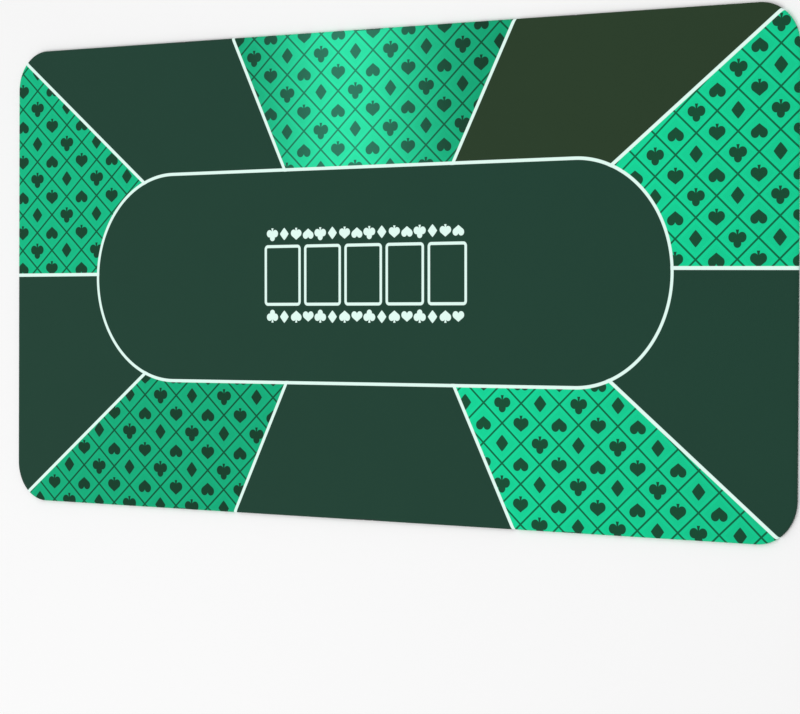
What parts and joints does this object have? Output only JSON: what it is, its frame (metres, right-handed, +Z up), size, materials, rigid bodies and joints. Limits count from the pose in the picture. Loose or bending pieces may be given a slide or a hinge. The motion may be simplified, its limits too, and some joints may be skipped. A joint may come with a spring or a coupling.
{
  "type": "folding poker table top",
  "caption": "Thin padded table top for card games, covered in printed cloth, that opens flat from a folded stack of panels on fabric hinges.",
  "frame": {"origin": "middle of the footprint of the opened top, on the surface that its feet stand on", "axes": "+X along the length towards the right-hand end, +Y across the width towards the back edge, +Z up out of the playing face"},
  "size_m": [1.8, 0.9, 0.008],
  "materials": {
    "playing_cloth": "printed speed cloth, fine weave, dark green with lighter green suit pattern and white lines",
    "hinge_tape": "black woven tape",
    "foam": "thin closed-cell foam sheet",
    "hardboard": "smooth brown pressed fibreboard",
    "backing": "black coated cloth with a fine canvas grain",
    "rubber": "matt black rubber"
  },
  "bodies": {
    "left_inner_panel": {"board_left_inner": "hardboard", "pad_left_inner": "foam", "cloth_left_inner": "playing_cloth", "backing_left_inner": "backing", "foot_left_inner_front_left": "rubber", "foot_left_inner_front_right": "rubber", "foot_left_inner_back_left": "rubber", "foot_left_inner_back_right": "rubber", "hinge_tape_left_outer": "hinge_tape", "hinge_tape_left_spine": "hinge_tape"},
    "left_outer_panel": {"board_left_outer": "hardboard", "pad_left_outer": "foam", "cloth_left_outer": "playing_cloth", "backing_left_outer": "backing", "foot_left_outer_front_left": "rubber", "foot_left_outer_front_right": "rubber", "foot_left_outer_back_left": "rubber", "foot_left_outer_back_right": "rubber"},
    "spine": {"board_spine": "hardboard", "pad_spine": "foam", "cloth_spine": "playing_cloth", "backing_spine": "backing", "hinge_tape_right_spine": "hinge_tape"},
    "right_inner_panel": {"board_right_inner": "hardboard", "pad_right_inner": "foam", "cloth_right_inner": "playing_cloth", "backing_right_inner": "backing", "foot_right_inner_front_left": "rubber", "foot_right_inner_front_right": "rubber", "foot_right_inner_back_left": "rubber", "foot_right_inner_back_right": "rubber", "hinge_tape_right_outer": "hinge_tape"},
    "right_outer_panel": {"board_right_outer": "hardboard", "pad_right_outer": "foam", "cloth_right_outer": "playing_cloth", "backing_right_outer": "backing", "foot_right_outer_front_left": "rubber", "foot_right_outer_front_right": "rubber", "foot_right_outer_back_left": "rubber", "foot_right_outer_back_right": "rubber"}
  },
  "joints": [
    {"name": "left_outer_fold", "type": "hinge", "parent": "left_inner_panel", "child": "left_outer_panel", "pos_m": [-0.45537, 0, 0.009], "axis": [0, 1, 0], "range_deg": [0, 179.9], "deforming": ["hinge_tape_left_outer"]},
    {"name": "left_spine_fold", "type": "hinge", "parent": "left_inner_panel", "child": "spine", "pos_m": [-0.01025, 0, 0.009], "axis": [0, -1, 0], "range_deg": [0, 90], "deforming": ["hinge_tape_left_spine"]},
    {"name": "right_spine_fold", "type": "hinge", "parent": "spine", "child": "right_inner_panel", "pos_m": [0.01025, 0, 0.009], "axis": [0, -1, 0], "range_deg": [0, 90], "deforming": ["hinge_tape_right_spine"]},
    {"name": "right_outer_fold", "type": "hinge", "parent": "right_inner_panel", "child": "right_outer_panel", "pos_m": [0.45537, 0, 0.009], "axis": [0, -1, 0], "range_deg": [0, 179.9], "deforming": ["hinge_tape_right_outer"]}
  ]
}
